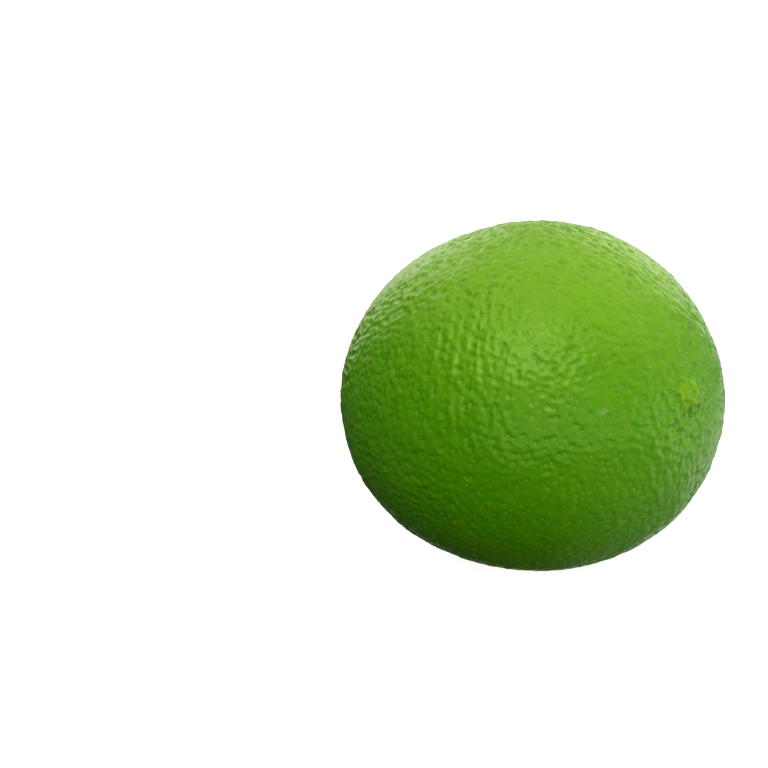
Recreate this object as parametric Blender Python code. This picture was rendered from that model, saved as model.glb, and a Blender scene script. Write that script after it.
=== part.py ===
# A whole lime, lying on its side on a small flat spot.
# Metres, +Z up. The origin is in the middle of the flat spot that the fruit rests on.
# The core runs along X and a little upwards: the blossom end is at +X, the stem end at -X.

import math

import bmesh
import bpy
from mathutils import Matrix, Vector

# The whole fruit
BODY_LENGTH = 0.0593  # along the core, before the nipple and the dimple
GIRTH_HEIGHT = 0.0518  # across the belly, from below to above
GIRTH_WIDTH = 0.0502  # across the belly, from side to side
FULL_SHOULDERS = 0.035  # how much fuller than an ellipse the shoulders are, as a share
BLOSSOM_FULLNESS = 0.035  # how much fuller the blossom half is than the stem half
THREE_SIDED = 0.012  # how far the belly leans from round towards three soft sides
SIDES_TURN = math.radians(-43.4)  # where the first of the three sides bulges
CORE_TILT = math.radians(6.0)  # how far the blossom end is raised as the fruit lies

# The blossom end: a low blunt nipple
NIPPLE_HEIGHT = 0.0007
NIPPLE_RADIUS = 0.0038

# The stem end: a shallow dimple with the calyx button standing in it
DIMPLE_DEPTH = 0.0012
DIMPLE_RADIUS = 0.0068
BUTTON_HEIGHT = 0.0008
BUTTON_RADIUS = 0.0026

# The flat spot
FLAT_WIDTH = 0.0100

# How finely the skin is divided
TURN_STEPS = 48  # round the core
POLAR_STEPS = 46  # from end to end
END_CROWDING = 0.6  # 0 spaces the rings evenly, towards 1 crowds them at the two ends

PEEL_COLOUR = (0.120, 0.330, 0.012, 1.0)
PEEL_ROUGHNESS = 0.38


def new_collection(name):
    collection = bpy.data.collections.new(name)
    bpy.context.scene.collection.children.link(collection)
    return collection


def mound(distance, reach):
    """1 in the middle, falling softly to 0 at the reach and beyond."""
    return 0.5 + 0.5 * math.cos(math.pi * min(distance / reach, 1.0))


def fruit_surface(polar, turn):
    """The skin's point at an angle from the blossom end and a turn round the core."""
    level = math.cos(polar)
    belly = math.sin(polar)
    shape = 1 + FULL_SHOULDERS * level**2 + BLOSSOM_FULLNESS * level
    lobes = 1 + THREE_SIDED * math.cos(3 * (turn - SIDES_TURN)) * belly**2
    across = belly * shape * lobes
    side = across * math.cos(turn) * GIRTH_WIDTH / 2
    up = across * math.sin(turn) * GIRTH_HEIGHT / 2
    along = level * BODY_LENGTH / 2
    from_core = math.hypot(side, up)
    if level > 0:
        along += NIPPLE_HEIGHT * mound(from_core, NIPPLE_RADIUS)
    else:
        along += DIMPLE_DEPTH * mound(from_core, DIMPLE_RADIUS)
        along -= BUTTON_HEIGHT * mound(from_core, BUTTON_RADIUS)
    return Vector((along, side, up))


def crowded(polar):
    """An evenly spaced polar angle moved towards the nearer end of the fruit."""
    return polar - END_CROWDING * math.sin(2 * polar) / 2


def lying_down():
    """The turn and the lift that lay the fruit down, with its flat spot at the origin."""
    tilt = Matrix.Rotation(-CORE_TILT, 4, "Y")
    under = [
        tilt @ fruit_surface(math.radians(0.5 * i), math.radians(0.5 * j - 180))
        for i in range(120, 241)
        for j in range(120, 241)
    ]
    lowest = min(under, key=lambda point: point.z)
    flat_depth = GIRTH_HEIGHT / 2 * (1 - math.sqrt(1 - (FLAT_WIDTH / GIRTH_WIDTH) ** 2))
    return Matrix.Translation(-lowest - Vector((0, 0, flat_depth))) @ tilt


def peel_material():
    material = bpy.data.materials.new("peel")
    material.use_nodes = True
    shader = material.node_tree.nodes["Principled BSDF"]
    shader.inputs["Base Color"].default_value = PEEL_COLOUR
    shader.inputs["Roughness"].default_value = PEEL_ROUGHNESS
    shader.inputs["Metallic"].default_value = 0.0
    return material


def add_fruit(collection):
    """A sphere whose points are moved out to the skin, laid down as the fruit lies."""
    shape = bmesh.new()
    bmesh.ops.create_uvsphere(shape, u_segments=TURN_STEPS, v_segments=POLAR_STEPS, radius=1)
    for vertex in shape.verts:
        polar = math.acos(max(-1.0, min(1.0, vertex.co.z)))
        turn = math.atan2(vertex.co.y, vertex.co.x)
        vertex.co = fruit_surface(crowded(polar), turn)
    bmesh.ops.recalc_face_normals(shape, faces=shape.faces)
    mesh = bpy.data.meshes.new("lime")
    shape.to_mesh(mesh)
    shape.free()
    mesh.shade_smooth()
    fruit = bpy.data.objects.new("lime", mesh)
    fruit.matrix_world = lying_down()
    fruit.data.materials.append(peel_material())
    collection.objects.link(fruit)
    return fruit


def flatten_underside(fruit, collection):
    """Takes off all that lies below z = 0, which leaves the flat spot."""
    span = 2 * BODY_LENGTH
    shape = bmesh.new()
    bmesh.ops.create_cube(shape, size=span)
    mesh = bpy.data.meshes.new("below_the_table_top")
    shape.to_mesh(mesh)
    shape.free()
    cutter = bpy.data.objects.new("below_the_table_top", mesh)
    cutter.location = (0, 0, -span / 2)
    cutter.hide_render = True
    cutter.display_type = "WIRE"
    collection.objects.link(cutter)
    cut = fruit.modifiers.new("flat spot", "BOOLEAN")
    cut.operation = "DIFFERENCE"
    cut.solver = "EXACT"
    cut.object = cutter


def main():
    for old in list(bpy.data.objects):
        bpy.data.objects.remove(old, do_unlink=True)
    fruit = add_fruit(new_collection("lime"))
    flatten_underside(fruit, new_collection("cutters"))
    bpy.context.view_layer.update()


main()
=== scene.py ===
import math

import bmesh
import bpy
import numpy as np
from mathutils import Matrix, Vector, noise
from mathutils.kdtree import KDTree


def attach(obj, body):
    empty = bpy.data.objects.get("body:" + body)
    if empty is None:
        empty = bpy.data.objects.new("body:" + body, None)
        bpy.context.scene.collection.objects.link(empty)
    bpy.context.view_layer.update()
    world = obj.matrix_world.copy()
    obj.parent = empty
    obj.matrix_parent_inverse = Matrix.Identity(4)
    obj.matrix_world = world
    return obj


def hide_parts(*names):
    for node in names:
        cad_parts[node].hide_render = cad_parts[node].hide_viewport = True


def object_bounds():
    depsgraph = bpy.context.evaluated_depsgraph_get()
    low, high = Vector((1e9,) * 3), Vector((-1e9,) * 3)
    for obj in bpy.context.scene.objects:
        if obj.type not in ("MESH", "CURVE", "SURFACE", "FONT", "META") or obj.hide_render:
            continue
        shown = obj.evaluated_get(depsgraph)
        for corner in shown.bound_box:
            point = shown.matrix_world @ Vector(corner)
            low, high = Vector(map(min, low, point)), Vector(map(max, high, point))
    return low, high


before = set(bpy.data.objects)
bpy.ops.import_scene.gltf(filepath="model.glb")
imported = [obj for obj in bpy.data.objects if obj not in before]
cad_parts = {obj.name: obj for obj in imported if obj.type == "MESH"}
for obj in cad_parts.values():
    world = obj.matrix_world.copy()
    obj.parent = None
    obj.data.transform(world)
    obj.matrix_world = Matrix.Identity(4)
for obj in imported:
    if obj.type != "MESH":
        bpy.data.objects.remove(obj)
cadLow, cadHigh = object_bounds()
mm = 0.001
print("frame loaded:", [round(x / mm, 1) for x in cadHigh - cadLow], "mm")


# the plain fruit, before its skin is worked; lengths in mm, angles in degrees

form = {
    "length": 59.3,  # along the core
    "height": 51.8,  # across the belly, upwards
    "width": 50.2,  # across the belly, sideways
    "fullShoulders": 0.035,
    "blossomFullness": 0.035,
    "threeSided": 0.012,
    "sidesTurn": -43.4,
    "coreTilt": 6.0,  # the blossom end is raised as it lies
    "flatSoftness": 0.25,  # how gently the belly rounds into its flat spot
    "flatDepth": 0.52,
    "gridCuts": 127,
    "endCrowding": 0.5,  # the grid is this much finer at the two ends
    "endReach": 20.0,
}


def formPoints(polar, turn):
    # polar is the angle from the blossom end, turn goes round the core
    level, belly = np.cos(polar), np.sin(polar)
    shape = 1 + form["fullShoulders"] * level**2 + form["blossomFullness"] * level
    sides = 3 * (turn - math.radians(form["sidesTurn"]))
    lobes = 1 + form["threeSided"] * np.cos(sides) * belly**2
    across = belly * shape * lobes
    along = level * form["length"] / 2
    side = across * np.cos(turn) * form["width"] / 2
    up = across * np.sin(turn) * form["height"] / 2
    return np.stack([along, side, up], 1)


def evenGrid(cuts):
    # a gridded cube, to be blown up into a ball, so no face is much smaller than another
    ball = bmesh.new()
    bmesh.ops.create_cube(ball, size=2)
    bmesh.ops.subdivide_edges(ball, edges=ball.edges[:], cuts=cuts, use_grid_fill=True)
    mesh = bpy.data.meshes.new("limePeel")
    ball.to_mesh(mesh)
    ball.free()
    return mesh


def readPoints(mesh, what="co"):
    values = np.empty(len(mesh.vertices) * 3)
    if what == "co":
        mesh.vertices.foreach_get("co", values)
    else:
        mesh.vertex_normals.foreach_get("vector", values)
    return values.reshape(-1, 3)


def writePoints(mesh, points):
    mesh.vertices.foreach_set("co", points.astype(np.float32).ravel())
    mesh.update()


def anglesOf(mesh):
    directions = np.tan(readPoints(mesh) * math.pi / 4)
    directions /= np.linalg.norm(directions, axis=1)[:, None]
    polar = np.arccos(directions[:, 0].clip(-1, 1))
    turn = np.arctan2(directions[:, 2], directions[:, 1])
    reach = math.radians(form["endReach"])
    fromEnd = np.minimum(polar, math.pi - polar)
    fromEnd = fromEnd * (1 - form["endCrowding"] * np.exp(-((fromEnd / reach) ** 2)))
    polar = np.where(polar < math.pi / 2, fromEnd, math.pi - fromEnd)
    return polar, turn


# unevenness and falloffs used all over the skin

def smooth(low, high, values):
    t = ((values - low) / (high - low)).clip(0, 1)
    return t * t * (3 - 2 * t)


def mound(distance, reach):
    return 0.5 + 0.5 * np.cos(math.pi * (distance / reach).clip(0, 1))


def unevenness(points, size, seed, octaves=2):
    # about -1 to 1; size is one length in mm, or three along the core, sideways and up
    scaled = points / np.array(size)
    shift = Vector((17.3 * seed, 5.1 * seed, -9.7 * seed))
    places = [Vector(p) + shift for p in scaled.tolist()]
    return np.array([noise.fractal(place, 1.0, 2.0, octaves) for place in places])


def spreadPoints(count, looseness, seed):
    # points all over the plain fruit, evenly spread and then pushed off their places
    i = np.arange(count) + 0.5
    level = 1 - 2 * i / count
    swing = i * math.pi * (3 - math.sqrt(5))
    ring = np.sqrt(1 - level**2)
    directions = np.stack([ring * np.cos(swing), ring * np.sin(swing), level], 1)
    gap = math.sqrt(4 * math.pi / count)
    directions += np.random.default_rng(seed).normal(0, looseness * gap, directions.shape)
    directions /= np.linalg.norm(directions, axis=1)[:, None]
    polar = np.arccos(directions[:, 0])
    return formPoints(polar, np.arctan2(directions[:, 2], directions[:, 1]))


def thinned(points, gap, seed):
    # takes the points in a random order and drops each that lies too close to one already kept
    points = np.random.default_rng(seed).permutation(points)
    tree = KDTree(len(points))
    for i, p in enumerate(points.tolist()):
        tree.insert(p, i)
    tree.balance()
    kept = np.ones(len(points), bool)
    for i, p in enumerate(points.tolist()):
        if kept[i]:
            close = [f[1] for f in tree.find_range(p, gap) if f[1] > i]
            kept[close] = False
    return points[kept]


def nearest(points, among, count):
    tree = KDTree(len(among))
    for i, p in enumerate(among.tolist()):
        tree.insert(p, i)
    tree.balance()
    found = [tree.find_n(p, count) for p in points.tolist()]
    distance = np.array([[f[2] for f in row] for row in found])
    index = np.array([[f[1] for f in row] for row in found])
    return distance, index


# the skin: oil glands, creases and the wrinkles round the blossom end, in mm

skin = {
    "glandCount": 20000,  # before those that crowd each other are dropped
    "glandLooseness": 0.60,
    "glandGap": 0.82,
    "glandSeed": 11,
    "weakestGland": 0.35, "glandRange": 0.9, "glandSkew": 1.6,  # a few stand out, most are weak
    "pitDepth": 0.215,
    "pitWidth": 0.40, "pitWidthShare": (0.75, 0.3),  # what any pit has, and a strong gland adds
    "slowSize": 17.0, "slowHeight": 0.14,
    "hammeredSize": 4.6, "hammeredHeight": 0.12,
    "pebbleSize": 1.6, "pebbleHeight": 0.08,
    # the net of ridges that shows most towards the two ends
    "foldCount": 1500, "foldLooseness": 0.26, "foldSeed": 5,
    "foldHeight": 0.22, "foldWidth": 0.70, "foldLevel": 0.35,
    "foldShare": 0.14,  # how much of it shows everywhere
    "tipFolds": 0.95, "tipFoldReach": 20.0,
    "tipBare": 0.6, "tipBareReach": 4.0,
    "stemFolds": 0.6, "stemFoldReach": 15.0,
    # fine ridges between the glands
    "rimHeight": 0.13, "rimWidth": 0.35, "rimLevel": 0.4,
    "rimShare": (0.35, 0.55),  # everywhere, and what the wrinkled ends add
    # the belly's creased patch, whose creases run round the girth
    "creasedCentre": (3.5, -22.5, 6.0), "creasedReach": 20.0, "creasedFull": 0.7,
    "creaseSize": (0.90, 4.8, 4.8), "creaseWidth": 0.32, "creaseDepth": 0.20, "creaseLevel": 0.55,
    "creaseCalm": 0.45,  # how far the rest of the relief fades where the skin is creased
    # deeper pits on top, and shallower ones round the blossom end
    "pittedCentre": (4.0, 2.0, 25.0), "pittedReach": 24.0, "pittedShare": 0.6,
    "tipShallow": 0.5, "tipReach": 24.0,
    # a smoother patch low on the creased side
    "calmCentre": (14.0, -14.0, -18.0), "calmReach": 27.0, "calmShare": 0.74,
    "livelySize": 9.0, "livelyShare": 0.35,
}

# broad swells of the whole fruit: place, reach and height
swells = [
    ((25.5, 12.5, -3.0), 17.0, 0.42),
    ((20.5, 8.5, -17.0), 14.0, 0.30),
    ((-15.0, -8.0, 20.0), 14.0, 0.22),
]

# single grooves: two ends on the skin, width and depth
grooves = [
    ((14.4, -18.7, 12.6), (16.4, -20.3, 7.1), 0.30, 0.17),
    ((6.6, -6.4, 24.6), (13.7, -5.3, 22.9), 0.35, 0.14),
    ((12.1, -23.5, 0.7), (12.5, -23.4, -1.5), 0.28, 0.13),
]

# pale whitish flecks, partly scuffed wax and partly painted glints: place on the skin and radius
scuffsAndGlints = [
    ((24.4, -15.0, -0.6), 0.55),
    ((23.3, -16.3, -1.3), 0.40),
    ((7.8, -16.5, 18.3), 0.40),
    ((-12.0, 12.0, 19.0), 0.60),
    ((-20.0, 14.0, -6.0), 0.50),
]


grooveShape = {"bend": 0.35, "waves": 7, "fade": 0.62}


def grooveRelief(points):
    relief = np.zeros(len(points))
    for start, end, width, depth in grooves:
        a, b = np.array(start), np.array(end)
        along = ((points - a) @ (b - a) / ((b - a) @ (b - a))).clip(0, 1)
        wave = grooveShape["bend"] * np.sin(along * grooveShape["waves"])
        middle = a + along[:, None] * (b - a) + wave[:, None] * np.array((1.0, 0.0, 0.0))
        away = np.linalg.norm(points - middle, axis=1)
        fade = np.sqrt(mound(np.abs(along - 0.5), grooveShape["fade"]))
        relief -= depth * fade * np.exp(-((away / width) ** 2))
    return relief


def patch(points, centre, reach):
    return mound(np.linalg.norm(points - np.array(centre), axis=1), reach)


def ridges(distance, width, level):
    # stands up where a point is as far from its nearest neighbour as from the next
    return np.exp(-(((distance[:, 1] - distance[:, 0]) / width) ** 2)) - level


def makeGlands():
    glands = spreadPoints(skin["glandCount"], skin["glandLooseness"], skin["glandSeed"])
    glands = thinned(glands, skin["glandGap"], skin["glandSeed"])
    print("oil glands:", len(glands))
    rng = np.random.default_rng(skin["glandSeed"] + 1)
    luck = rng.random(len(glands)) ** skin["glandSkew"]
    return glands, skin["weakestGland"] + skin["glandRange"] * luck


def wrinkledEnds(points, tip):
    stem = (-form["length"] / 2, 0, 0)
    bare = 1 - skin["tipBare"] * patch(points, tip, skin["tipBareReach"])
    amount = skin["foldShare"] + skin["tipFolds"] * patch(points, tip, skin["tipFoldReach"]) * bare
    return amount + skin["stemFolds"] * patch(points, stem, skin["stemFoldReach"])


def skinRelief(points):
    # how far each point of the skin stands out, and what the colours need to know
    glands, vigour = makeGlands()
    distance, index = nearest(points, glands, 3)
    least, more = skin["pitWidthShare"]
    width = skin["pitWidth"] * (least + more * vigour[index])
    pits = (vigour[index] * np.exp(-((distance / width) ** 2))).sum(1)
    rims = ridges(distance, skin["rimWidth"], skin["rimLevel"])

    folds = spreadPoints(skin["foldCount"], skin["foldLooseness"], skin["foldSeed"])
    net = ridges(nearest(points, folds, 2)[0], skin["foldWidth"], skin["foldLevel"])
    tip = (form["length"] / 2, 0, 0)
    endWrinkles = wrinkledEnds(points, tip)

    full = skin["creasedFull"]
    creased = patch(points, skin["creasedCentre"], skin["creasedReach"]).clip(0, full) / full
    crossing = unevenness(points, skin["creaseSize"], seed=8, octaves=1)
    creases = np.exp(-((crossing / skin["creaseWidth"]) ** 2)) - skin["creaseLevel"]
    lively = 1 - skin["calmShare"] * patch(points, skin["calmCentre"], skin["calmReach"])
    lively *= 1 + skin["livelyShare"] * unevenness(points, skin["livelySize"], seed=3)

    relief = skin["hammeredHeight"] * unevenness(points, skin["hammeredSize"], seed=2)
    relief += skin["pebbleHeight"] * unevenness(points, skin["pebbleSize"], seed=4)
    least, more = skin["rimShare"]
    relief += skin["rimHeight"] * (least + more * endWrinkles) * rims
    pitted = 1 + skin["pittedShare"] * patch(points, skin["pittedCentre"], skin["pittedReach"])
    pitted -= skin["tipShallow"] * patch(points, tip, skin["tipReach"])
    relief *= 1 - skin["creaseCalm"] * creased
    relief -= skin["pitDepth"] * pitted * pits
    relief -= skin["creaseDepth"] * creased * creases
    relief *= lively
    relief += skin["foldHeight"] * endWrinkles * net
    relief -= relief.mean()
    relief += skin["slowHeight"] * unevenness(points, skin["slowSize"], seed=1)
    relief += grooveRelief(points)
    for centre, reach, height in swells:
        relief += height * patch(points, centre, reach)
    marks = {
        "glandOffset": points - glands[index[:, 0]],
        "glandDistance": distance[:, 0],
        "glandVigour": vigour[index[:, 0]],
        # how deep the pits and hollows lie, for their darker green that is partly painted shade
        "hollow": (pits * pitted * lively).clip(0, 1.5) - net * endWrinkles * 0.5,
        "creased": creased,
        "lively": lively,
    }
    return relief, marks


# the two ends

ends = {
    "nippleHeight": 0.7, "nippleRadius": 3.8,
    "nubPlace": (-1.6, 0.6),  # the style's scar sits a little off the core
    "lumpRing": 1.15, "lumpRingRange": (0.7, 1.35), "lumpSwing": 0.3,
    "lumpWidth": 0.72, "lumpStretch": 0.8, "lumpHeight": 0.38, "lumpStrength": (0.6, 0.95),
    "lumpCount": 6, "lumpSeed": 4,
    "dimpleDepth": 1.2, "dimpleRadius": 6.8,
    "furrowCount": 9, "furrowDepth": 0.16, "furrowSwing": 0.25,
    "furrowRing": 5.0, "furrowReach": 3.2,
    "buttonRadius": 2.30, "buttonHeight": 0.75, "buttonEdge": (0.80, 1.06), "buttonCrown": 0.25,
    "sepalCount": 5, "sepalDepth": 0.13, "lopsided": 0.07, "ragged": 0.16, "raggedSize": 0.9,
    "scarRadius": 1.05, "scarDepth": 0.22, "scarEdge": (0.75, 1.1),
    "scarRim": 1.15, "scarRimWidth": 0.22, "scarRimHeight": 0.12,
}


def blossomEnd(points):
    # the nipple pushed out along the core, with a ring of small lumps round the style's scar
    fromCore = np.hypot(points[:, 1], points[:, 2])
    here = points[:, 0] > 0
    push = ends["nippleHeight"] * mound(fromCore, ends["nippleRadius"])
    side, up = points[:, 1] - ends["nubPlace"][0], points[:, 2] - ends["nubPlace"][1]
    rng = np.random.default_rng(ends["lumpSeed"])
    swing = ends["lumpSwing"]
    gap = np.ones(len(points))
    for i in range(ends["lumpCount"]):
        angle = 2 * math.pi * (i + rng.uniform(-swing, swing)) / ends["lumpCount"]
        ring = ends["lumpRing"] * rng.uniform(*ends["lumpRingRange"])
        upFromLump = (up - ring * math.sin(angle)) * ends["lumpStretch"]
        away = np.hypot(side - ring * math.cos(angle), upFromLump)
        strength = rng.uniform(*ends["lumpStrength"])
        gap *= 1 - strength * np.exp(-((away / ends["lumpWidth"]) ** 2))
    push += ends["lumpHeight"] * (1 - gap)
    mask = here * (1 - gap)
    return np.where(here, push, 0), mask


def stemEnd(points, turn):
    # the dimple with its soft furrows, and the dried calyx button that the stalk came away from
    fromCore = np.hypot(points[:, 1], points[:, 2])
    here = points[:, 0] < 0
    push = ends["dimpleDepth"] * mound(fromCore, ends["dimpleRadius"])
    swing = turn + ends["furrowSwing"] * np.sin(2 * turn + 1)
    furrowed = mound(np.abs(fromCore - ends["furrowRing"]), ends["furrowReach"])
    furrows = np.cos(ends["furrowCount"] * swing) * furrowed
    push += ends["furrowDepth"] * furrows
    ragged = ends["ragged"] * unevenness(points, ends["raggedSize"], seed=31)
    lobe = 1 + ends["sepalDepth"] * np.cos(ends["sepalCount"] * turn + 0.7)
    lobe = lobe + ends["lopsided"] * np.sin(3 * turn) + ragged
    edge = fromCore / (ends["buttonRadius"] * lobe)
    button = 1 - smooth(*ends["buttonEdge"], edge)
    push -= ends["buttonHeight"] * button * (1 - ends["buttonCrown"] * edge.clip(0, 1) ** 2)
    scar = 1 - smooth(*ends["scarEdge"], fromCore / ends["scarRadius"])
    fromRim = fromCore - ends["scarRadius"] * ends["scarRim"]
    rim = np.exp(-((fromRim / ends["scarRimWidth"]) ** 2))
    push += ends["scarDepth"] * scar - ends["scarRimHeight"] * rim * button
    button, scar = button * here, scar * here
    return np.where(here, push, 0), button, scar


def layDown(points, plain):
    # tilts the core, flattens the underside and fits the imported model's box; still in mm
    tilt = math.radians(form["coreTilt"])
    c, s = math.cos(tilt), math.sin(tilt)
    turned = np.array(((c, 0, -s), (0, 1, 0), (s, 0, c)))
    lift = np.array((0, 0, (plain @ turned.T)[:, 2].min() + form["flatDepth"]))

    def lie(shape):
        laid = shape @ turned.T - lift
        z = laid[:, 2]
        laid[:, 2] = (z + np.sqrt(z**2 + form["flatSoftness"] ** 2)) / 2
        return laid

    low, high = lie(plain).min(0), lie(plain).max(0)
    scale = np.array(cadHigh - cadLow) / mm / (high - low)
    return (lie(points) - low) * scale + np.array(cadLow) / mm


def addMark(mesh, name, values):
    vector = values.ndim == 2
    mark = mesh.attributes.new(name, "FLOAT_VECTOR" if vector else "FLOAT", "POINT")
    mark.data.foreach_set("vector" if vector else "value", values.astype(np.float32).ravel())


def makeLime():
    mesh = evenGrid(form["gridCuts"])
    polar, turn = anglesOf(mesh)
    points = formPoints(polar, turn)
    writePoints(mesh, points)
    outward = readPoints(mesh, "normal")
    print("plain fruit:", len(mesh.vertices), "points")

    relief, marks = skinRelief(points)
    tipPush, nipple = blossomEnd(points)
    stemPush, button, scar = stemEnd(points, turn)
    relief = relief * (1 - 0.9 * button)  # the button is dry and has next to no glands
    core = np.array((1.0, 0.0, 0.0))
    smoothEnds = points + ((tipPush + stemPush)[:, None] * core)
    worked = smoothEnds + relief[:, None] * outward
    laid = layDown(worked, smoothEnds)
    laid[:, 2] -= laid[:, 2].min() - cadLow.z / mm
    writePoints(mesh, laid * mm)
    coreMiddle = Vector(layDown(np.zeros((1, 3)), smoothEnds)[0]) * mm
    print("skin worked: relief", round(relief.min(), 2), "to", round(relief.max(), 2), "mm")

    # pale flecks, partly scuffed wax and partly painted glints
    scuff = np.zeros(len(points))
    ragged = 1 + 0.5 * unevenness(points, 0.7, seed=21, octaves=1)
    for place, radius in scuffsAndGlints:
        away = np.linalg.norm(points - np.array(place), axis=1) * ragged
        scuff = np.maximum(scuff, 1 - smooth(0.5 * radius, 1.2 * radius, away))
    marks.update(nipple=nipple, button=button, stalkScar=scar, scuff=scuff)
    for name, values in marks.items():
        addMark(mesh, name, values)
    mesh.shade_smooth()
    lime = bpy.data.objects.new("limeFruit", mesh)
    bpy.context.scene.collection.objects.link(lime)
    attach(lime, "root")
    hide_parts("lime")
    return lime, coreMiddle


# nodes written as sums

class Signal:
    # the output of one node; adding, multiplying and so on lays down a Math node
    def __init__(self, sheet, socket):
        self.sheet = sheet
        self.socket = socket

    def maths(self, operation, *values):
        return self.sheet.node("ShaderNodeMath", {"operation": operation}, dict(enumerate(values)))

    def __add__(self, other):
        return self.maths("ADD", self, other)

    def __sub__(self, other):
        return self.maths("SUBTRACT", self, other)

    def __rsub__(self, other):
        return self.maths("SUBTRACT", other, self)

    def __mul__(self, other):
        return self.maths("MULTIPLY", self, other)

    def __truediv__(self, other):
        return self.maths("DIVIDE", self, other)

    def __rtruediv__(self, other):
        return self.maths("DIVIDE", other, self)

    __radd__ = __add__
    __rmul__ = __mul__


class NodeSheet:
    def __init__(self, owner, shader="Principled BSDF"):
        owner.use_nodes = True
        self.tree = owner.node_tree
        self.shader = self.tree.nodes[shader]

    def node(self, kind, settings=None, sockets=None, output=0):
        made = self.tree.nodes.new(kind)
        for name, value in (settings or {}).items():
            if name == "stops":
                self.setStops(made.color_ramp, value)
            else:
                setattr(made, name, value)
        for name, value in (sockets or {}).items():
            self.feed(made.inputs[name], value)
        return Signal(self, made.outputs[output])

    def setStops(self, ramp, stops):
        while len(ramp.elements) < len(stops):
            ramp.elements.new(0.5)
        for element, (place, colour) in zip(ramp.elements, stops):
            element.position = place
            element.color = (*colour, 1)

    def feed(self, socket, value):
        if isinstance(value, Signal):
            self.tree.links.new(value.socket, socket)
        else:
            socket.default_value = value

    def mark(self, name, vector=False):
        return self.node("ShaderNodeAttribute", {"attribute_name": name}, output=1 if vector else 2)

    def step(self, value, low, high):
        # 0 below low, 1 above high, soft between
        sockets = {"Value": value, "From Min": low, "From Max": high}
        return self.node("ShaderNodeMapRange", {"interpolation_type": "SMOOTHSTEP"}, sockets)

    def mottle(self, scale, detail=2.0, roughness=0.5):
        # noise of about 0 to 1, with scale in cells per metre
        place = self.node("ShaderNodeTexCoord", output=3)
        sockets = {"Vector": place, "Scale": scale, "Detail": detail, "Roughness": roughness}
        return self.node("ShaderNodeTexNoise", None, sockets)

    def mix(self, amount, first, second):
        # indices 6 and 7 are the mix node's colours, and output 2 its colour
        sockets = {0: amount, 6: first, 7: second}
        return self.node("ShaderNodeMix", {"data_type": "RGBA"}, sockets, output=2)


# the peel's material, colours linear

peelLook = {
    # painted light: the lit top of the fruit is painted a lighter, yellower green and the shaded
    # underside a darker green
    "paintedLightGreen": (0.200, 0.440, 0.002, 1),
    "paintedShadeGreen": (0.105, 0.380, 0.001, 1),
    "paintedLightSpan": (-0.15, 0.95),  # from painted shade below to painted light above, as parts of the half height
    "sideUnevenness": 0.5,
    "deepGreen": (0.070, 0.290, 0.001, 1), "deepFrom": (0.42, 0.70), "deepShare": 0.15,
    "yellowGreen": (0.300, 0.530, 0.006, 1), "yellowFrom": (0.48, 0.66), "yellowShare": 0.12,
    "fleckFrom": (0.45, 0.75), "fleckShare": 0.25,
    # painted shade in the pits and hollows, along with the peel's own deeper green there
    "pitGreenAndShade": (0.050, 0.240, 0.001, 1), "pitGreenAndShadeFrom": (0.15, 0.95), "pitGreenAndShadeShare": 0.35,
    "nippleGreen": (0.240, 0.470, 0.006, 1), "nippleFrom": (0.22, 0.75), "nippleShare": 0.80,
    # pale whitish flecks: partly scuffed wax, partly painted glints
    "scuffAndGlintPale": (0.380, 0.500, 0.240, 1), "scuffAndGlintFrom": (0.40, 0.58), "scuffAndGlintShare": 0.7,
    "buttonGreen": (0.160, 0.230, 0.040, 1), "buttonFrom": (0.35, 0.75),
    "buttonDry": (0.420, 0.340, 0.130, 1), "dryFrom": (0.42, 0.60),
    "scarBrown": (0.160, 0.105, 0.045, 1), "scarShare": 0.8,
    # the glands, in mm from a gland's middle: full effect, none left
    # the gland dots are paler and whiter than the glands' own yellow-green, a painted highlight on
    # each
    "glandDotAndGlint": (0.420, 0.720, 0.090, 1), "glandShare": (0.13, 0.52),  # any gland, a strong one
    "glandDot": (0.04, 0.25), "glandPit": (0.04, 0.34),
    "glandCell": (0.18, 0.26),  # where a gland stops, so that it never meets the next one
    "strongGland": (0.25, 1.25),
    "roughness": 0.25,
    "roughHollow": 0.10, "roughUnevenness": 0.12, "roughScuffAndGlint": 0.2, "roughButton": 0.35,
    "shine": 0.81,
    "shineTint": (0.88, 1.0, 0.46, 1),
    "bending": 1.45,
    "coat": 0.05,
    "coatRoughness": 0.17,
    "lightInside": 0.10, "lightInsideReach": (0.5, 1.0, 0.15), "lightInsideDepth": 0.0008,
    # noise in cells per metre
    "broadScale": 38, "patchScale": 160, "fineScale": 900,
    "scuffAndGlintScale": 1800, "fibreScale": 1300,
    # fine relief that is smaller than the mesh, heights in mm
    "pitBump": 0.080, "dotBump": 0.015,
    "grainScale": 1250, "grainHeight": 0.040,
    "dustScale": 2600, "dustHeight": 0.012,
    "creaseScale": (1150, 260, 260), "creaseHeight": 0.08,
    "fibreHeight": 0.25,
}


def fineRelief(sheet, place, pit, dot, vigour, fibres):
    look = peelLook
    lean = (0, math.radians(form["coreTilt"]), 0)
    along = sheet.node(
        "ShaderNodeMapping", {"vector_type": "POINT"},
        {"Vector": place, "Rotation": lean, "Scale": look["creaseScale"]},
    )
    streaks = sheet.node(
        "ShaderNodeTexNoise", None, {"Vector": along, "Scale": 1.0, "Detail": 2.0}
    )
    grain = sheet.mottle(look["grainScale"]) * look["grainHeight"]
    height = (grain - pit * vigour * look["pitBump"]) * sheet.mark("lively")
    height = height + sheet.mottle(look["dustScale"]) * look["dustHeight"]
    height = height + dot * look["dotBump"]
    height = height + streaks * sheet.mark("creased") * look["creaseHeight"]
    height = height + fibres * sheet.mark("button") * look["fibreHeight"]
    return sheet.node("ShaderNodeBump", None, {"Strength": 1.0, "Distance": mm, "Height": height})


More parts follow.
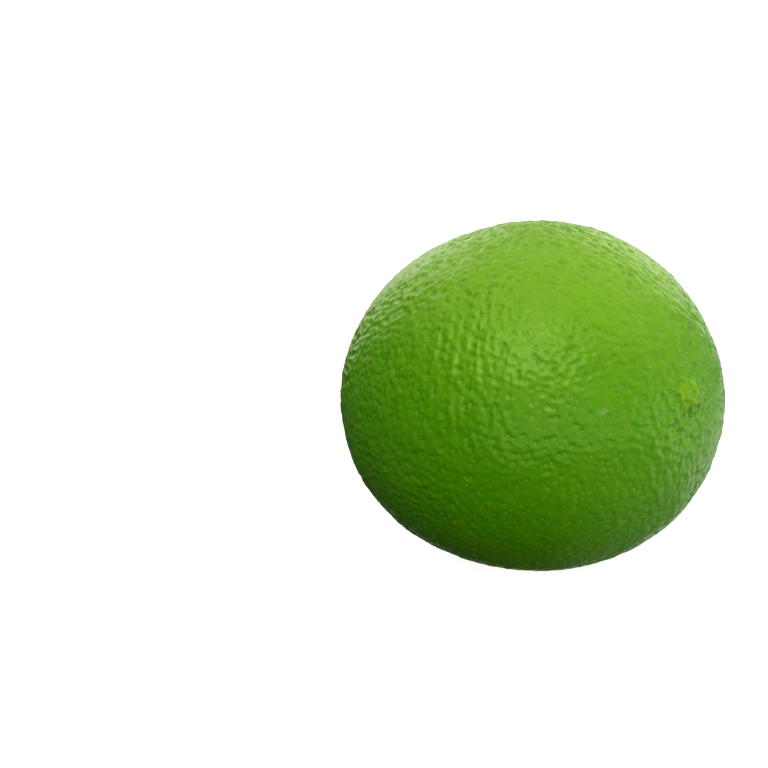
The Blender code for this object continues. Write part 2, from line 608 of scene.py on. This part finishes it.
def peelMaterial():
    look = peelLook
    material = bpy.data.materials.new("limePeel")
    sheet = NodeSheet(material)
    broad = sheet.mottle(look["broadScale"], 3)
    patches = sheet.mottle(look["patchScale"], 3)
    fine = sheet.mottle(look["fineScale"], 4, 0.6)
    fibres = sheet.mottle(look["fibreScale"], 5, 0.7)

    def tint(colour, amount, name):
        return sheet.mix(amount, colour, look[name])

    def part(value, name):
        return sheet.step(value, *look[name + "From"]) * look[name + "Share"]

    # green all over, painted lighter and yellower towards the top and darker below, as painted
    # light and shade by height
    place = sheet.node("ShaderNodeTexCoord", output=3)
    height = sheet.node("ShaderNodeSeparateXYZ", None, {0: place}, 2)
    middle, half = (cadLow.z + cadHigh.z) / 2, (cadHigh.z - cadLow.z) / 2
    rise = (height - middle) / half + (broad - 0.5) * look["sideUnevenness"]
    litAbove = sheet.step(rise, *look["paintedLightSpan"])
    colour = sheet.mix(litAbove, look["paintedShadeGreen"], look["paintedLightGreen"])
    colour = tint(colour, part(patches, "deep"), "deepGreen")
    colour = tint(colour, part(broad * 0.5 + patches * 0.5, "yellow"), "yellowGreen")
    colour = tint(colour, part(fine, "fleck"), "yellowGreen")

    # the pits and hollows darkened: painted shade, with the peel's own deeper green there
    hollow = sheet.step(sheet.mark("hollow"), *look["pitGreenAndShadeFrom"])
    colour = tint(colour, hollow * look["pitGreenAndShadeShare"], "pitGreenAndShade")

    # the glands, each a pale dot in a small pit; the dot is partly the gland's own pale
    # yellow-green and partly a painted highlight, whiter than the gland
    glandOffset = sheet.mark("glandOffset", True)
    offset = sheet.node("ShaderNodeVectorMath", {"operation": "LENGTH"}, {0: glandOffset}, 1)
    inCell = 1 - sheet.step(sheet.mark("glandDistance"), *look["glandCell"])
    dot = (1 - sheet.step(offset, *look["glandDot"])) * inCell
    pit = (1 - sheet.step(offset, *look["glandPit"])) * inCell
    vigour = sheet.step(sheet.mark("glandVigour"), *look["strongGland"])
    notButton = 1 - sheet.mark("button")
    least, more = look["glandShare"]
    colour = tint(colour, dot * (vigour * more + least) * notButton, "glandDotAndGlint")

    colour = tint(colour, part(sheet.mark("nipple"), "nipple"), "nippleGreen")
    # pale whitish flecks painted on, partly scuffed wax and partly painted glints, broken up by
    # noise
    speckled = sheet.step(sheet.mottle(look["scuffAndGlintScale"]), *look["scuffAndGlintFrom"])
    scuff = sheet.mark("scuff") * speckled
    colour = tint(colour, scuff * look["scuffAndGlintShare"], "scuffAndGlintPale")

    wood = sheet.mix(sheet.step(fibres, *look["dryFrom"]), look["buttonGreen"], look["buttonDry"])
    wood = tint(wood, sheet.mark("stalkScar") * look["scarShare"], "scarBrown")
    colour = sheet.mix(sheet.step(sheet.mark("button"), *look["buttonFrom"]), colour, wood)

    rough = look["roughness"] + hollow * look["roughHollow"]
    rough = rough + (fine - 0.5) * look["roughUnevenness"] + scuff * look["roughScuffAndGlint"]
    rough = rough + sheet.mark("button") * look["roughButton"]

    inputs = sheet.shader.inputs
    sheet.feed(inputs["Base Color"], colour)
    sheet.feed(inputs["Roughness"], rough)
    sheet.feed(inputs["Coat Weight"], notButton * look["coat"])
    sheet.feed(inputs["Normal"], fineRelief(sheet, place, pit, dot, vigour, fibres))
    inputs["Coat Roughness"].default_value = look["coatRoughness"]
    inputs["IOR"].default_value = look["bending"]
    inputs["Specular IOR Level"].default_value = look["shine"]
    inputs["Specular Tint"].default_value = look["shineTint"]
    inputs["Subsurface Weight"].default_value = look["lightInside"]
    inputs["Subsurface Radius"].default_value = look["lightInsideReach"]
    inputs["Subsurface Scale"].default_value = look["lightInsideDepth"]
    return material


# floor, light and camera, in metres from the fruit's middle

studio = {
    "floorRadius": 2.2, "sweepRadius": 1.2, "backdropHeight": 2.4,
    "floorSides": 96, "sweepSteps": 17,
    "floorGap": 0.00002,  # below the fruit, so that the two never share a plane
    "floorColour": (0.30, 0.30, 0.30, 1), "floorGlow": 0.80,
    # light from all round: place on the way from below to above or from left to right, and strength
    "skyColour": (1.0, 1.0, 0.92),
    "skyUp": [(0.00, 0.00), (0.45, 0.07), (0.60, 0.07), (0.80, 0.39), (1.00, 0.93)],
    "skyRight": [(0.00, 0.00), (0.50, 0.00), (0.75, 0.21), (1.00, 0.56)],
    "lightColour": (1.0, 1.0, 0.92),
    "lightDistance": 0.78,
    "lights": {
        # name: degrees to the right of the camera, degrees up, size, watts
        "window": (-18, 38, (0.84, 0.44), 0.46),
        "windowMiddle": (-18, 36, (0.62, 0.34), 1.00),
        "highLeft": (-46, 57, (0.50, 0.35), 0.28),
        "frontLow": (-12, 12, (1.30, 0.30), 0.64),
        "behind": (180, 15, (1.10, 0.40), 1.15),
        "behindLeft": (-150, 35, (0.50, 0.40), 0.38),
        "behindRight": (150, 35, (0.50, 0.40), 0.34),
        # light thrown up by a pale table top
        "tableFront": (0, -14, (1.30, 0.35), 1.05),
        "tableRight": (80, -6, (0.70, 0.30), 0.45),
        "tableFarRight": (110, -18, (0.80, 0.35), 0.34),
        "tableBehind": (165, -15, (0.80, 0.35), 0.38),
    },
}

view = {
    "turn": 39.5, "height": 8.0,  # degrees round from the side, and above the floor
    "distance": 0.44, "lens": 139.0,
    "fruitRight": 0.0213, "fruitBelow": 0.0021,  # where the fruit sits from the picture's middle
    "nearest": 0.01,
}


def cameraAxes():
    turn, height = math.radians(view["turn"]), math.radians(view["height"])
    level = math.cos(height)
    back = Vector((math.sin(turn) * level, -math.cos(turn) * level, math.sin(height)))
    right = Vector((math.cos(turn), math.sin(turn), 0))
    return right, back.cross(right), back


def addCamera():
    right, up, back = cameraAxes()
    camera = bpy.data.objects.new("camera", bpy.data.cameras.new("camera"))
    camera.data.lens = view["lens"]
    camera.data.clip_start = view["nearest"]
    aside = right * view["fruitRight"] - up * view["fruitBelow"]
    camera.location = coreMiddle + back * view["distance"] - aside
    camera.rotation_euler = back.to_track_quat("Z", "Y").to_euler()
    bpy.context.scene.collection.objects.link(camera)
    bpy.context.scene.camera = camera


def acrossAway():
    # level directions as the camera sees them: to its right, and away from it
    right, _, back = cameraAxes()
    return right, Vector((-back.x, -back.y, 0)).normalized()


def addLight(name, aside, height, size, watts):
    right, away = acrossAway()
    aside, height = math.radians(aside), math.radians(height)
    level = right * math.sin(aside) - away * math.cos(aside)
    direction = level * math.cos(height) + Vector((0, 0, math.sin(height)))
    offset = direction * studio["lightDistance"]
    light = bpy.data.objects.new(name, bpy.data.lights.new(name, "AREA"))
    light.data.shape = "RECTANGLE"
    light.data.size, light.data.size_y = size
    light.data.energy = watts
    light.data.color = studio["lightColour"]
    light.location = coreMiddle + offset
    light.rotation_euler = offset.to_track_quat("Z", "Y").to_euler()
    light.visible_camera = False
    bpy.context.scene.collection.objects.link(light)


def addSky():
    world = bpy.data.worlds.new("studio")
    bpy.context.scene.world = world
    world.use_nodes = True
    sheet = NodeSheet(world, "Background")
    direction = sheet.node("ShaderNodeTexCoord", output=0)

    def glow(axis, steps):
        sockets = {0: direction, 1: axis}
        along = sheet.node("ShaderNodeVectorMath", {"operation": "DOT_PRODUCT"}, sockets, 1)
        stops = [(place, [strength * c for c in studio["skyColour"]]) for place, strength in steps]
        return sheet.node("ShaderNodeValToRGB", {"stops": stops}, {0: along * 0.5 + 0.5})

    right, _ = acrossAway()
    above = glow((0, 0, 1), studio["skyUp"])
    aside = glow(right, studio["skyRight"])
    both = sheet.node("ShaderNodeVectorMath", {"operation": "ADD"}, {0: above, 1: aside})
    sheet.feed(sheet.shader.inputs["Color"], both)
    sheet.shader.inputs["Strength"].default_value = 1.0


def addFloor():
    # a round floor whose edge sweeps up into a backdrop
    low = cadLow.z - studio["floorGap"]
    flat, bend = studio["floorRadius"], studio["sweepRadius"]
    angles = np.linspace(0, math.pi / 2, studio["sweepSteps"]).tolist()
    curve = [(flat + bend * math.sin(a), bend * (1 - math.cos(a))) for a in angles]
    profile = [*curve, (flat + bend, studio["backdropHeight"])]
    sides = studio["floorSides"]
    turns = np.linspace(0, 2 * math.pi, sides, endpoint=False).tolist()
    points = [(r * math.cos(t), r * math.sin(t), low + h) for r, h in profile for t in turns]
    faces = [tuple(range(sides))]
    for ring in range(len(profile) - 1):
        for i in range(sides):
            a, b = ring * sides + i, ring * sides + (i + 1) % sides
            faces.append((a, a + sides, b + sides, b))
    mesh = bpy.data.meshes.new("floor")
    mesh.from_pydata(points, [], faces)
    floor = bpy.data.objects.new("floor", mesh)
    bpy.context.scene.collection.objects.link(floor)
    paint = bpy.data.materials.new("paleFloor")
    inputs = NodeSheet(paint).shader.inputs
    inputs["Base Color"].default_value = studio["floorColour"]
    inputs["Roughness"].default_value = 1.0
    inputs["Specular IOR Level"].default_value = 0.0
    inputs["Emission Color"].default_value = (1, 1, 1, 1)
    inputs["Emission Strength"].default_value = studio["floorGlow"]
    floor.data.materials.append(paint)
    # the floor stays pale to the eye without throwing light up on the fruit
    floor.visible_diffuse = False
    floor.visible_glossy = False
    floor.visible_shadow = False


def addStudio():
    bpy.context.scene.view_settings.view_transform = "Standard"
    bpy.context.scene.view_settings.look = "Medium High Contrast"
    addSky()
    for name, values in studio["lights"].items():
        addLight(name, *values)
    addFloor()


lime, coreMiddle = makeLime()
lime.data.materials.append(peelMaterial())
print("peel painted")
addCamera()
addStudio()
print("studio lit")
